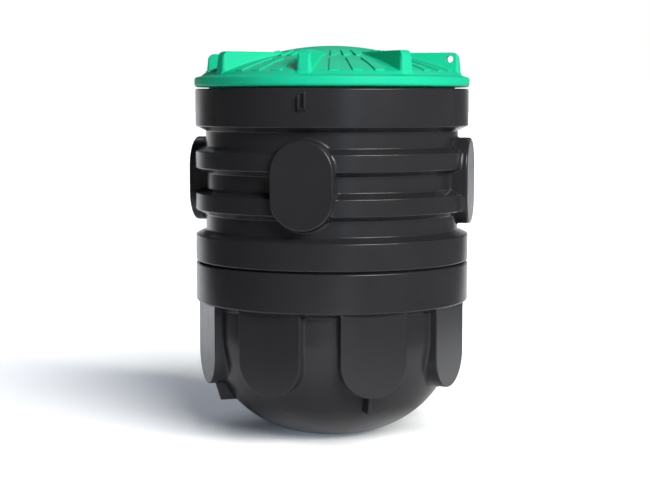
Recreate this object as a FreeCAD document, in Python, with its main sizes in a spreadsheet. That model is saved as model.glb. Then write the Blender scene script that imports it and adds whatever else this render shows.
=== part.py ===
import FreeCAD, Part
import Sketcher
import math
import os
from types import SimpleNamespace

# Moulded inspection chamber: a dished base, a ribbed riser ring and a domed lid.
# Millimetres, +Z up, origin on the floor under the middle of the foot.
# The first riser pad faces -Y, and angles turn about +Z from there towards +X.

SIZES = [
    ("wall", 10.0, "thickness of the moulded skin"),
    ("edge_r", 7.0, "rounding of the moulded edges"),
    ("body_r", 509.0, "outer radius of the plain walls"),
    ("band_depth", 41.0, "height of the collars and hoops over the plain walls"),
    ("slope", 18.0, "height of the sloped shoulder beside a band"),
    ("bore_inset", 25.0, "inward reach of the lip round an opening, from the wall's outer side"),
    ("spigot_gap", 6.0, "clearance round a spigot in its opening"),
    ("spigot_drop", 60.0, "depth of a spigot below its seat"),
    ("lap", 9.0, "width of plain wall that belongs to a collar or a pad"),
    ("bowl_blend", 428.0, "rounding of the bowl between the flat foot and the wall"),
    ("foot_lap", 100.0, "width of bowl that belongs to the foot"),
    ("base_top", 696.0, "height of the base"),
    ("base_band", 152.0, "height of the base collar's outer face"),
    ("base_pad_w", 265.0, "width of a pipe pad on the base"),
    ("base_pad_rise", 14.0, "height of a base pad's face over the wall"),
    ("base_pad_low", 216.0, "height of the lowest point of a base pad"),
    ("base_pad_turn", 29.5, "angle of the first base pad, in degrees"),
    ("base_pad_edge", 4.0, "rounding round a base pad's face"),
    ("lug_t", 14.0, "thickness of an anchor lug"),
    ("lug_drop", 71.0, "reach of an anchor lug below its pad"),
    ("lug_set", 31.0, "setback of a lug's upper corner from the pad's face"),
    ("lug_rake", 24.0, "setback of a lug's lower corner from its upper one"),
    ("seal_t", 7.0, "thickness of the seal between base and riser"),
    ("seal_set", 14.0, "setback of the seal from the bands' outer face"),
    ("seal_w", 36.0, "width of the seal"),
    ("foot_band", 106.0, "height of the riser's lower collar"),
    ("neck_gap", 64.0, "height of plain wall beside a hoop"),
    ("hoop_flat", 66.0, "height of a hoop's outer face"),
    ("collar_band", 147.0, "height of the riser's upper collar"),
    ("pad_w", 244.0, "width of a pipe pad on the riser"),
    ("pad_overrun", 37.0, "reach of a riser pad past the hoops, up and down"),
    ("pad_rise", 16.0, "height of a riser pad's face over the hoops"),
    ("pad_edge", 8.0, "rounding round a riser pad's face"),
    ("clip_w", 33.0, "width of the collar's clip"),
    ("clip_h", 73.0, "height of the collar's clip"),
    ("clip_t", 13.0, "height of the clip above the collar"),
    ("clip_slot", 13.0, "width of the slot in the clip"),
    ("clip_drop", 15.0, "distance of the clip below the collar's top"),
    ("clip_step", 12.0, "drop of the clip's left arm below its right one"),
    ("clip_taper", 10.0, "slope under the clip"),
    ("lid_gap", 7.0, "gap under the lid's rim"),
    ("seat_w", 17.0, "width of the lid's seat beyond its spigot"),
    ("rim_over", 3.0, "reach of the lid's rim past the riser's collar"),
    ("rim_h", 37.0, "height of the rim's outer face"),
    ("ledge_w", 27.0, "width of the rim's top"),
    ("flank_w", 14.0, "width of the flank between the rim's top and the dome"),
    ("ledge_rise", 7.0, "rise of the rim's top to the flank"),
    ("dome_edge_rise", 19.0, "rise of the dome's edge over the rim's outer face"),
    ("dome_r", 1478.0, "radius of the dome's outer zone"),
    ("crown_rise", 129.0, "rise of the crown over the rim's outer face"),
    ("crown_r", 950.0, "radius of the raised crown"),
    ("crown_edge_r", 240.0, "radius where the crown ends"),
    ("crown_flank", 28.0, "width of the flank round the crown"),
    ("rib_w", 64.0, "width of a lid rib at its root"),
    ("rib_set", 5.0, "setback of a rib's outer end from the rim's top"),
    ("rib_lap", 25.0, "reach of a rib into the crown"),
    ("rib_rise", 99.0, "height of a rib's top over the rim's outer face"),
    ("rib_draft", 6.0, "draft of a rib's sides, in degrees"),
    ("rib_nose", 22.0, "rounding at a rib's outer end"),
    ("rib_edge", 6.0, "rounding along a rib's top"),
    ("rib_wall", 8.0, "thickness of a rib's skin"),
    ("hole_r", 14.5, "radius of the hole through one rib"),
    ("hole_set", 41.0, "distance of that hole from the rib's outer end"),
    ("hole_drop", 26.0, "distance of that hole below the rib's top"),
    ("tread_t", 6.0, "height of the tread bars"),
    ("tread_angle", 4.2, "width of a tread bar, in degrees"),
    ("tread_step", 9.9, "angle between tread bars, in degrees"),
    ("tread_margin", 4.0, "setback of the outer bars from the dome's edge"),
    ("tread_len", 163.0, "length of the outer bars"),
    ("step_over", 23.0, "reach of the inner bars past the crown's flank"),
    ("step_lap", 18.0, "reach of the inner bars onto the crown"),
]
RIB_COUNT = 8
HOLED_RIB = 3
BASE_PAD_COUNT = 8
RISER_PAD_COUNT = 4
LUG_COUNT = 4
RING_SEGMENTS = 8
UP = FreeCAD.Vector(0, 0, 1)

doc = FreeCAD.newDocument("inspection_chamber")
sheet = doc.addObject("Spreadsheet::Sheet", "Sizes")
for row, (name, value, note) in enumerate(SIZES, start=1):
    sheet.set(f"A{row}", name)
    sheet.set(f"B{row}", str(value))
    sheet.set(f"C{row}", note)
    sheet.setAlias(f"B{row}", name)
doc.recompute()


class Size:
    """A length, with its formula in the sheet's names and its present value."""

    def __init__(self, text, value):
        self.text = text
        self.value = value

    def __add__(self, other):
        other = as_size(other)
        return Size(f"({self.text} + {other.text})", self.value + other.value)

    def __sub__(self, other):
        other = as_size(other)
        return Size(f"({self.text} - {other.text})", self.value - other.value)

    def __mul__(self, other):
        other = as_size(other)
        return Size(f"({self.text} * {other.text})", self.value * other.value)

    def __truediv__(self, other):
        other = as_size(other)
        return Size(f"({self.text} / {other.text})", self.value / other.value)


def as_size(value):
    return value if isinstance(value, Size) else Size(str(value), float(value))


def root(size):
    return Size(f"sqrt({size.text})", math.sqrt(size.value))


def leg(long_side, other_leg):
    """The second leg of a right-angled triangle."""
    return root(long_side * long_side - other_leg * other_leg)


S = SimpleNamespace(**{name: Size(f"Sizes.{name}", float(sheet.get(name))) for name, _, _ in SIZES})
ZERO = as_size(0)

# Radii of the outer surfaces, from the plain wall out and in.
band_r = S.body_r + S.band_depth
bore_r = S.body_r - S.bore_inset
foot_r = S.body_r - S.bowl_blend
base_pad_reach = S.body_r + S.base_pad_rise
lug_top_r = base_pad_reach - S.lug_set
lug_low_r = lug_top_r - S.lug_rake
seal_out_r = band_r - S.seal_set
seal_in_r = seal_out_r - S.seal_w
pad_reach = band_r + S.pad_rise
spigot_r = bore_r - S.spigot_gap
seat_r = spigot_r + S.seat_w
rim_r = band_r + S.rim_over
ledge_r = rim_r - S.ledge_w
dome_edge_r = ledge_r - S.flank_w
flank_r = S.crown_edge_r + S.crown_flank
rib_end_r = ledge_r - S.rib_set
rib_start_r = S.crown_edge_r - S.rib_lap
hole_at_r = rib_end_r - S.hole_set
tread_end_r = dome_edge_r - S.tread_margin
tread_start_r = tread_end_r - S.tread_len
step_end_r = flank_r + S.step_over
step_start_r = S.crown_edge_r - S.step_lap

# Heights, from the floor up.
base_band_low = S.base_top - S.base_band
base_neck_top = base_band_low - S.slope
base_wall_top = base_neck_top - S.lap
base_pad_mid = S.base_pad_low + S.base_pad_w / 2
riser_low = S.base_top + S.seal_t
foot_band_top = riser_low + S.foot_band
riser_wall_low = foot_band_top + S.slope
hoop_pitch = S.neck_gap + S.slope * 2 + S.hoop_flat
hoop_low = riser_wall_low + S.neck_gap
upper_hoop_low = hoop_low + hoop_pitch
upper_hoop_top = upper_hoop_low + S.hoop_flat + S.slope * 2
collar_neck = upper_hoop_top + S.neck_gap
collar_band_low = collar_neck + S.slope
riser_top = collar_band_low + S.collar_band
pad_mid = (hoop_low + upper_hoop_top) / 2
pad_half = (upper_hoop_top - hoop_low) / 2 + S.pad_overrun
rim_low = riser_top + S.lid_gap
rim_top = rim_low + S.rim_h
ledge_z = rim_top + S.ledge_rise
dome_edge_z = rim_top + S.dome_edge_rise
crown_z = rim_top + S.crown_rise
rib_top = rim_top + S.rib_rise
dome_centre_z = dome_edge_z - leg(S.dome_r, dome_edge_r)
crown_centre_z = crown_z - S.crown_r

# Radii of the skin's inner side, and how far a sloped corner shifts along it.
body_in_r = S.body_r - S.wall
band_in_r = band_r - S.wall
spigot_in_r = spigot_r - S.wall
slope_length = root(S.band_depth * S.band_depth + S.slope * S.slope)
corner = S.wall * (slope_length - S.slope) / S.band_depth


def origin_plane(body, role):
    return next(f for f in body.Origin.OriginFeatures if f.Role == role)


def new_sketch(body, role, label):
    sketch = body.newObject("Sketcher::SketchObject", label)
    sketch.AttachmentSupport = [(origin_plane(body, role), "")]
    sketch.MapMode = "FlatFace"
    return sketch


def hold(sketch, kind, geometry, point, size):
    """Ties one coordinate of a point to a formula, or to the axis where it is zero."""
    if size is None:
        return
    if size is ZERO:
        axis = -2 if kind == "DistanceX" else -1
        sketch.addConstraint(Sketcher.Constraint("PointOnObject", geometry, point, axis))
        return
    index = sketch.addConstraint(Sketcher.Constraint(kind, -1, 1, geometry, point, size.value))
    sketch.setExpression(f"Constraints[{index}]", size.text)


def hold_radius(sketch, geometry, size):
    index = sketch.addConstraint(Sketcher.Constraint("Radius", geometry, size.value))
    sketch.setExpression(f"Constraints[{index}]", size.text)


class Arc:
    """A stretch of outline round a centre on the axis, to the next point, with the sizes that it holds."""

    def __init__(self, radius, centre_z, holds=("radius",)):
        self.radius = radius
        self.centre_z = centre_z
        self.holds = holds


def outline(sketch, path):
    """Closes a chain of (x, z, held x, held z) points, with an Arc after a point where one is given."""
    points = []
    arcs = {}
    for step in path:
        if isinstance(step, Arc):
            arcs[len(points) - 1] = step
        else:
            points.append(step)
    starts = []
    for i, point in enumerate(points):
        ends = (point, points[(i + 1) % len(points)])
        begin, end = (FreeCAD.Vector(p[0].value, p[1].value, 0) for p in ends)
        starts.append(1)
        if i not in arcs:
            sketch.addGeometry(Part.LineSegment(begin, end))
            continue
        centre = FreeCAD.Vector(0, arcs[i].centre_z.value, 0)
        angles = [math.atan2(p.y - centre.y, p.x) for p in (begin, end)]
        circle = Part.Circle(centre, UP, arcs[i].radius.value)
        sketch.addGeometry(Part.ArcOfCircle(circle, min(angles), max(angles)))
        # An arc runs anticlockwise, so a stretch that turns clockwise begins at the arc's second end.
        starts[i] = 1 if angles[0] < angles[1] else 2
    for i, begin in enumerate(starts):
        j = (i + 1) % len(points)
        sketch.addConstraint(Sketcher.Constraint("Coincident", i, 3 - begin, j, starts[j]))
    for i, arc in arcs.items():
        sketch.addConstraint(Sketcher.Constraint("PointOnObject", i, 3, -2))
        if "radius" in arc.holds:
            hold_radius(sketch, i, arc.radius)
        if "centre" in arc.holds:
            hold(sketch, "DistanceY", i, 3, arc.centre_z)
    for i, point in enumerate(points):
        hold(sketch, "DistanceX", i, starts[i], point[2])
        hold(sketch, "DistanceY", i, starts[i], point[3])


def at(x, z):
    return (x, z, x, z)


def shoulder(plain_r, plain_z, wide_r, wide_z):
    """The slightly dished slope between a wall and a band, which a flat pad meets in a round edge."""
    widening = wide_r * wide_r - plain_r * plain_r
    centre_z = (plain_z + wide_z) / 2 + widening / ((wide_z - plain_z) * 2)
    fall = plain_z - centre_z
    return Arc(root(plain_r * plain_r + fall * fall), centre_z, holds=())


def revolved(label, path, degrees=None):
    """A body turned about the vertical axis from its half section, all round or an angle about +X."""
    body = doc.addObject("PartDesign::Body", label)
    sketch = new_sketch(body, "XZ_Plane", label + "_section")
    outline(sketch, path)
    turn = body.newObject("PartDesign::Revolution", label + "_turn")
    turn.Profile = sketch
    turn.ReferenceAxis = (sketch, ["V_Axis"])
    turn.Angle = 360.0
    if degrees:
        turn.Midplane = True
        turn.setExpression("Angle", degrees.text)
    doc.recompute()
    return body


def rounded(body, spots, radius):
    """Rounds the circular edges that run through the given (radius, height) spots."""
    base = body.Tip
    names = []
    for i, edge in enumerate(base.Shape.Edges, start=1):
        if not isinstance(edge.Curve, Part.Circle):
            continue
        for r, z in spots:
            near = abs(edge.Curve.Radius - r.value) < 0.01 and abs(edge.Curve.Center.z - z.value) < 0.01
            if near:
                names.append(f"Edge{i}")
    fillet = body.newObject("PartDesign::Fillet", f"{body.Name}_round_{len(body.Group)}")
    fillet.Base = (base, names)
    fillet.setExpression("Radius", radius.text)
    doc.recompute()
    return body


def boolean(kind, label, first, second):
    feature = doc.addObject(f"Part::{kind}", label)
    feature.Base = first
    feature.Tool = second
    return feature


def cut(label, first, second):
    return boolean("Cut", label, first, second)


def common(label, first, second):
    return boolean("Common", label, first, second)


def joined(label, shapes):
    feature = doc.addObject("Part::MultiFuse", label)
    feature.Shapes = shapes
    return feature


def turned_copy(label, source, degrees):
    """The same piece at another angle about the vertical axis."""
    degrees = as_size(degrees)
    copy = doc.addObject("Part::Compound", label)
    copy.Links = [source]
    copy.Placement = FreeCAD.Placement(FreeCAD.Vector(), FreeCAD.Rotation(UP, degrees.value))
    copy.setExpression("Placement.Rotation.Angle", degrees.text)
    return copy


def cylinder(label, radius, low, high):
    feature = doc.addObject("Part::Cylinder", label)
    feature.setExpression("Radius", radius.text)
    feature.setExpression("Height", (high - low).text)
    feature.setExpression("Placement.Base.z", low.text)
    return feature


def wedge(label, radius, low, high, degrees):
    """A sector from +X towards +Y."""
    feature = cylinder(label, radius, low, high)
    feature.Angle = degrees
    return feature


def rectangle(half_w, low, top):
    """Draws a rectangle that is centred across its sketch."""

    def draw(sketch):
        corners = [(-1, low), (1, low), (1, top), (-1, top)]
        points = [FreeCAD.Vector(side * half_w.value, z.value, 0) for side, z in corners]
        for i in range(4):
            sketch.addGeometry(Part.LineSegment(points[i], points[(i + 1) % 4]))
        for i in range(4):
            sketch.addConstraint(Sketcher.Constraint("Coincident", i, 2, (i + 1) % 4, 1))
        for line, kind in ((1, "Vertical"), (2, "Horizontal"), (3, "Vertical")):
            sketch.addConstraint(Sketcher.Constraint(kind, line))
        sketch.addConstraint(Sketcher.Constraint("Symmetric", 0, 1, 0, 2, -2))
        index = sketch.addConstraint(Sketcher.Constraint("DistanceX", 0, 1, 0, 2, 2 * half_w.value))
        sketch.setExpression(f"Constraints[{index}]", (half_w * 2).text)
        hold(sketch, "DistanceY", 0, 1, low)
        hold(sketch, "DistanceY", 2, 1, top)

    return draw


def prism(label, draw, start, reach, face_round=None):
    """A prism out to -Y between two distances from the axis, with its face's edges rounded if asked."""
    body = doc.addObject("PartDesign::Body", label)
    sketch = new_sketch(body, "XZ_Plane", label + "_outline")
    sketch.setExpression("AttachmentOffset.Base.z", start.text)
    draw(sketch)
    pad = body.newObject("PartDesign::Pad", label + "_pad")
    pad.Profile = sketch
    pad.setExpression("Length", (reach - start).text)
    doc.recompute()
    if face_round:
        names = []
        for i, edge in enumerate(pad.Shape.Edges, start=1):
            if all(abs(v.Point.y + reach.value) < 0.01 for v in edge.Vertexes):
                names.append(f"Edge{i}")
        fillet = body.newObject("PartDesign::Fillet", label + "_round")
        fillet.Base = (pad, names)
        fillet.setExpression("Radius", face_round.text)
        doc.recompute()
    return body


def obround(half_w, mid, half_h):
    """Draws an upright outline with half-round ends."""

    def draw(sketch):
        top = mid + half_h - half_w
        low = mid - half_h + half_w
        side = FreeCAD.Vector(half_w.value, 0, 0)
        upper = FreeCAD.Vector(0, top.value, 0)
        lower = FreeCAD.Vector(0, low.value, 0)
        sketch.addGeometry(Part.ArcOfCircle(Part.Circle(upper, UP, half_w.value), 0, math.pi))
        sketch.addGeometry(Part.LineSegment(upper - side, lower - side))
        sketch.addGeometry(Part.ArcOfCircle(Part.Circle(lower, UP, half_w.value), math.pi, 2 * math.pi))
        sketch.addGeometry(Part.LineSegment(lower + side, upper + side))
        for i in range(4):
            sketch.addConstraint(Sketcher.Constraint("Tangent", i, 2, (i + 1) % 4, 1))
        for arc, height in ((0, top), (2, low)):
            sketch.addConstraint(Sketcher.Constraint("PointOnObject", arc, 3, -2))
            hold(sketch, "DistanceY", arc, 3, height)
            hold_radius(sketch, arc, half_w)

    return draw


def tongue(half_w, mid, top):
    """Draws an outline with a half-round lower end and a straight top."""

    def draw(sketch):
        side = FreeCAD.Vector(half_w.value, 0, 0)
        centre = FreeCAD.Vector(0, mid.value, 0)
        left = FreeCAD.Vector(-half_w.value, top.value, 0)
        right = FreeCAD.Vector(half_w.value, top.value, 0)
        sketch.addGeometry(Part.LineSegment(left, centre - side))
        sketch.addGeometry(Part.ArcOfCircle(Part.Circle(centre, UP, half_w.value), math.pi, 2 * math.pi))
        sketch.addGeometry(Part.LineSegment(centre + side, right))
        sketch.addGeometry(Part.LineSegment(right, left))
        sketch.addConstraint(Sketcher.Constraint("Tangent", 0, 2, 1, 1))
        sketch.addConstraint(Sketcher.Constraint("Tangent", 1, 2, 2, 1))
        sketch.addConstraint(Sketcher.Constraint("Coincident", 2, 2, 3, 1))
        sketch.addConstraint(Sketcher.Constraint("Coincident", 3, 2, 0, 1))
        sketch.addConstraint(Sketcher.Constraint("Vertical", 0))
        sketch.addConstraint(Sketcher.Constraint("Vertical", 2))
        sketch.addConstraint(Sketcher.Constraint("Horizontal", 3))
        sketch.addConstraint(Sketcher.Constraint("PointOnObject", 1, 3, -2))
        hold_radius(sketch, 1, half_w)
        hold(sketch, "DistanceY", 1, 3, mid)
        hold(sketch, "DistanceY", 3, 1, top)

    return draw


nodes = []


def node(label, feature):
    feature.Label = label
    nodes.append(feature)
    return feature


ring_step = as_size(360.0 / RING_SEGMENTS)


def ring_nodes(label, segment):
    """Closes a ring with copies of a segment, every second one in the same node."""
    for first in (0, 1):
        ring = doc.addObject("Part::Compound", f"{label}_{first + 1}")
        ring.Links = [
            turned_copy(f"{label}_segment_{k + 1}", segment, ring_step * (k + 0.5))
            for k in range(first, RING_SEGMENTS, 2)
        ]
        node(f"{label}_{first + 1}", ring)


def collar(label, neck, band_low, top):
    """A segment of a collar that widens from the wall to its band and turns in to the opening."""
    body = revolved(label, [
        at(body_in_r, neck - S.lap),
        at(S.body_r, neck - S.lap),
        at(S.body_r, neck),
        shoulder(S.body_r, neck, band_r, band_low),
        at(band_r, band_low),
        at(band_r, top),
        at(bore_r, top),
        at(bore_r, top - S.wall),
        at(band_in_r, top - S.wall),
        at(band_in_r, band_low + corner),
        at(body_in_r, neck + corner),
    ], ring_step)
    return rounded(body, [(S.body_r, neck), (band_r, band_low), (band_r, top)], S.edge_r)


# Base: the outer and inner forms of its bowl and wall.
base_form = revolved("base_form", [
    at(ZERO, ZERO),
    at(S.body_r, ZERO),
    at(S.body_r, base_wall_top),
    at(ZERO, base_wall_top),
])
rounded(base_form, [(S.body_r, ZERO)], S.bowl_blend)
base_core = revolved("base_core", [
    at(ZERO, S.wall),
    at(body_in_r, S.wall),
    at(body_in_r, base_wall_top),
    at(ZERO, base_wall_top),
])
rounded(base_core, [(body_in_r, S.wall)], S.bowl_blend - S.wall)
base_skin = cut("base_skin", base_form, base_core)

ring_nodes("base_collar", collar("base_collar", base_neck_top, base_band_low, S.base_top))

# Base pads: flat tongues under the collar, hollow towards the inside.
collar_fill = revolved("collar_fill", [
    at(ZERO, base_wall_top),
    at(S.body_r, base_wall_top),
    at(S.body_r, base_neck_top),
    shoulder(S.body_r, base_neck_top, band_r, base_band_low),
    at(band_r, base_band_low),
    at(band_r, S.base_top),
    at(ZERO, S.base_top),
])
rounded(collar_fill, [(S.body_r, base_neck_top), (band_r, base_band_low)], S.edge_r)
base_pad_half = S.base_pad_w / 2
base_pad_start = (base_pad_half + S.lap) / math.tan(math.pi / BASE_PAD_COUNT) + S.wall
base_pad_form = prism(
    "base_pad_form", tongue(base_pad_half, base_pad_mid, base_band_low),
    base_pad_start, base_pad_reach, S.base_pad_edge)
base_pad_core = prism(
    "base_pad_core", tongue(base_pad_half - S.wall, base_pad_mid, S.base_top),
    base_pad_start - S.wall, base_pad_reach - S.wall)
base_pad_zone = prism(
    "base_pad_zone", tongue(base_pad_half + S.lap, base_pad_mid, S.base_top),
    base_pad_start, base_pad_reach + S.wall)
base_pad_root = common("base_pad_root", base_skin, base_pad_zone)
base_pad_shell = cut("base_pad_shell", base_pad_form, base_core)
base_pad_hood = cut("base_pad_hood", base_pad_shell, collar_fill)
base_pad_block = joined("base_pad_block", [base_pad_root, base_pad_hood])
base_pad = cut("base_pad", base_pad_block, base_pad_core)
base_pad_step = 360.0 / BASE_PAD_COUNT
for k in range(BASE_PAD_COUNT):
    label = f"base_pad_{k + 1}"
    node(label, turned_copy(label, base_pad, S.base_pad_turn + k * base_pad_step))

# Base wall: the strips between the pads, down to the pads' round ends, and the bowl below in quarters.
pad_zones = joined("base_pad_zones", [
    turned_copy(f"base_pad_zone_{k + 1}", base_pad_zone, S.base_pad_turn + k * base_pad_step)
    for k in range(BASE_PAD_COUNT)
])
open_skin = cut("base_open_skin", base_skin, pad_zones)
bowl_zone = cylinder("bowl_zone", band_r, ZERO, base_pad_mid)
foot_zone = cylinder("foot_zone", foot_r + S.foot_lap, ZERO, base_pad_mid)
node("base_wall", cut("base_wall", open_skin, bowl_zone))
node("base_foot", common("base_foot", base_skin, foot_zone))
quarter = wedge("bowl_quarter", band_r, ZERO, base_pad_mid, 360.0 / LUG_COUNT)
bowl_skin = cut("bowl_skin", open_skin, foot_zone)
for k in range(LUG_COUNT):
    turn = S.base_pad_turn + (k * 90.0 - 135.0)
    zone = turned_copy(f"bowl_quarter_{k + 1}", quarter, turn)
    node(f"base_bowl_{k + 1}", common(f"base_bowl_{k + 1}", bowl_skin, zone))

# Anchor lugs: upright plates under every second pad.
lug_body = doc.addObject("PartDesign::Body", "lug_plate")
lug_sketch = new_sketch(lug_body, "YZ_Plane", "lug_outline")
lug_in_r = foot_r + S.foot_lap
lug_top = S.base_pad_low + S.base_pad_edge
lug_low = S.base_pad_low - S.lug_drop
outline(lug_sketch, [
    at(lug_in_r, lug_low),
    at(lug_low_r, lug_low),
    at(lug_top_r, lug_top),
    at(lug_in_r, lug_top),
])
lug_pad = lug_body.newObject("PartDesign::Pad", "lug_pad")
lug_pad.Profile = lug_sketch
lug_pad.setExpression("Length", S.lug_t.text)
lug_pad.Midplane = True
doc.recompute()
lug_turned = turned_copy("lug_turned", lug_body, 180.0)
lug_tool = joined("lug_tool", [base_form, base_pad_form])
anchor_lug = cut("anchor_lug", lug_turned, lug_tool)
lugs = doc.addObject("Part::Compound", "anchor_lugs")
lugs.Links = [
    turned_copy(f"anchor_lug_{k + 1}", anchor_lug, S.base_pad_turn + k * 360.0 / LUG_COUNT)
    for k in range(LUG_COUNT)
]
node("anchor_lugs", lugs)

# Seal between the base and the riser.
seal = revolved("joint_seal", [
    at(seal_in_r, S.base_top),
    at(seal_out_r, S.base_top),
    at(seal_out_r, riser_low),
    at(seal_in_r, riser_low),
])
node("joint_seal", seal)

# Riser: lower collar with the spigot that enters the base, and upper collar.
riser_foot = revolved("riser_foot_collar", [
    at(spigot_in_r, riser_low - S.spigot_drop),
    at(spigot_r, riser_low - S.spigot_drop),
    at(spigot_r, riser_low),
    at(band_r, riser_low),
    at(band_r, foot_band_top),
    shoulder(S.body_r, riser_wall_low, band_r, foot_band_top),
    at(S.body_r, riser_wall_low),
    at(S.body_r, riser_wall_low + S.lap),
    at(body_in_r, riser_wall_low + S.lap),
    at(body_in_r, riser_wall_low - corner),
    at(band_in_r, foot_band_top - corner),
    at(band_in_r, riser_low + S.wall),
    at(spigot_in_r, riser_low + S.wall),
], ring_step)
rounded(riser_foot, [(band_r, riser_low), (band_r, foot_band_top), (S.body_r, riser_wall_low)], S.edge_r)
ring_nodes("riser_foot_collar", riser_foot)
ring_nodes("riser_collar", collar("riser_collar", collar_neck, collar_band_low, riser_top))


def hooped_form(label, plain_r, hoop_r, shift):
    """The filled shape of the riser's wall with its two hoops, inside or outside."""
    low = riser_wall_low + S.lap
    high = collar_neck - S.lap
    path = [at(ZERO, low), at(plain_r, low)]
    corners = []
    for hoop in (hoop_low, upper_hoop_low):
        foot = hoop + shift
        face_low = hoop + S.slope + shift
        face_top = hoop + S.slope + S.hoop_flat - shift
        head = hoop + S.slope * 2 + S.hoop_flat - shift
        path += [
            at(plain_r, foot),
            shoulder(plain_r, foot, hoop_r, face_low),
            at(hoop_r, face_low),
            at(hoop_r, face_top),
            shoulder(plain_r, head, hoop_r, face_top),
            at(plain_r, head),
        ]
        corners += [(plain_r, foot), (hoop_r, face_low), (hoop_r, face_top), (plain_r, head)]
    body = revolved(label, path + [at(plain_r, high), at(ZERO, high)])
    return body, corners


riser_form, hoop_corners = hooped_form("riser_form", S.body_r, band_r, ZERO)
rounded(riser_form, hoop_corners, S.edge_r)
riser_core, _ = hooped_form("riser_core", body_in_r, band_in_r, corner)

# Riser pads: tall flat pads across both hoops, hollow towards the inside.
pad_half_w = S.pad_w / 2
pad_start = (pad_half_w + S.lap) / math.tan(math.pi / RISER_PAD_COUNT) + S.wall
pad_form = prism("pad_form", obround(pad_half_w, pad_mid, pad_half), pad_start, pad_reach, S.pad_edge)
pad_core = prism(
    "pad_core", obround(pad_half_w - S.wall, pad_mid, pad_half - S.wall),
    pad_start - S.wall, pad_reach - S.wall)
pad_zone = prism(
    "pad_zone", obround(pad_half_w + S.lap, pad_mid, pad_half + S.lap), pad_start, pad_reach + S.wall)
pad_root = common("pad_root", riser_form, pad_zone)
pad_block = joined("pad_block", [pad_root, pad_form])
pad_hollow = joined("pad_hollow", [riser_core, pad_core])
riser_pad = cut("riser_pad", pad_block, pad_hollow)
pad_step = 360.0 / RISER_PAD_COUNT
for k in range(RISER_PAD_COUNT):
    node(f"riser_pad_{k + 1}", turned_copy(f"riser_pad_{k + 1}", riser_pad, k * pad_step))

# Riser wall: four hooped panels from pad to pad.
riser_skin = cut("riser_skin", riser_form, riser_core)
panel_zone = wedge("panel_zone", band_r + S.wall, riser_wall_low, collar_neck, pad_step)
panel_whole = common("panel_whole", riser_skin, panel_zone)
panel_ends = joined("panel_ends", [
    turned_copy("panel_end_1", pad_zone, pad_step),
    turned_copy("panel_end_2", pad_zone, 2 * pad_step),
])
panel = cut("panel", panel_whole, panel_ends)
for k in range(RISER_PAD_COUNT):
    node(f"riser_wall_{k + 1}", turned_copy(f"riser_wall_{k + 1}", panel, (k - 1) * pad_step))

# Clip on the upper collar: a small fork, open at its top, with one lower arm and a sloped underside.
clip_top = riser_top - S.clip_drop
clip_low = clip_top - S.clip_h
clip_face = band_r + S.clip_t
clip_slot_low = clip_low + S.clip_w / 2
clip_block = prism("clip_block", rectangle(S.clip_w / 2, clip_low, clip_top), bore_r, clip_face)
clip_plain = clip_block.Tip
underside = []
for i, edge in enumerate(clip_plain.Shape.Edges, start=1):
    ends = [v.Point for v in edge.Vertexes]
    if all(abs(p.y + clip_face.value) < 0.01 and abs(p.z - clip_low.value) < 0.01 for p in ends):
        underside.append(f"Edge{i}")
clip_slope = clip_block.newObject("PartDesign::Chamfer", "clip_slope")
clip_slope.Base = (clip_plain, underside)
clip_slope.setExpression("Size", S.clip_taper.text)
clip_slot = prism(
    "clip_slot", rectangle(S.clip_slot / 2, clip_slot_low, clip_top + S.wall), bore_r, clip_face + S.wall)
clip_notch = doc.addObject("Part::Box", "clip_notch")
clip_notch.setExpression("Length", (S.clip_w / 2).text)
clip_notch.setExpression("Width", (clip_face - bore_r + S.wall).text)
clip_notch.setExpression("Height", (S.clip_step + S.wall).text)
clip_notch.setExpression("Placement.Base.x", (S.clip_w / -2).text)
clip_notch.setExpression("Placement.Base.y", (ZERO - clip_face - S.wall).text)
clip_notch.setExpression("Placement.Base.z", (clip_top - S.clip_step).text)
collar_fill_up = cylinder("collar_fill_up", band_r, collar_band_low, riser_top)
clip_tool = joined("clip_tool", [clip_slot, clip_notch, collar_fill_up])
node("collar_clip", cut("collar_clip", clip_block, clip_tool))

# Lid: the outer and inner forms of its top.
skirt_r = dome_edge_r + S.wall
lid_form = revolved("lid_form", [
    at(ZERO, rim_low),
    at(skirt_r, rim_low),
    at(skirt_r, ledge_z),
    at(ledge_r, ledge_z),
    at(dome_edge_r, dome_edge_z),
    Arc(S.dome_r, dome_centre_z),
    (flank_r, dome_centre_z + leg(S.dome_r, flank_r), flank_r, None),
    (S.crown_edge_r, crown_centre_z + leg(S.crown_r, S.crown_edge_r), S.crown_edge_r, None),
    Arc(S.crown_r, crown_centre_z),
    at(ZERO, crown_z),
])
dome_in_r = S.dome_r - S.wall
crown_in_r = S.crown_r - S.wall
lid_core = revolved("lid_core", [
    at(ZERO, rim_low),
    at(skirt_r, rim_low),
    (skirt_r, dome_centre_z + leg(dome_in_r, skirt_r), skirt_r, None),
    Arc(dome_in_r, dome_centre_z, holds=("radius", "centre")),
    (flank_r, dome_centre_z + leg(dome_in_r, flank_r), flank_r, None),
    (S.crown_edge_r, crown_centre_z + leg(crown_in_r, S.crown_edge_r), S.crown_edge_r, None),
    Arc(crown_in_r, crown_centre_z, holds=("radius", "centre")),
    (ZERO, crown_z - S.wall, ZERO, None),
])
dome_zone = cylinder("dome_zone", dome_edge_r, rim_low, crown_z + S.wall)
dome_disc = common("dome_disc", lid_form, dome_zone)
dome_skin = cut("dome_skin", dome_disc, lid_core)


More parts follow.
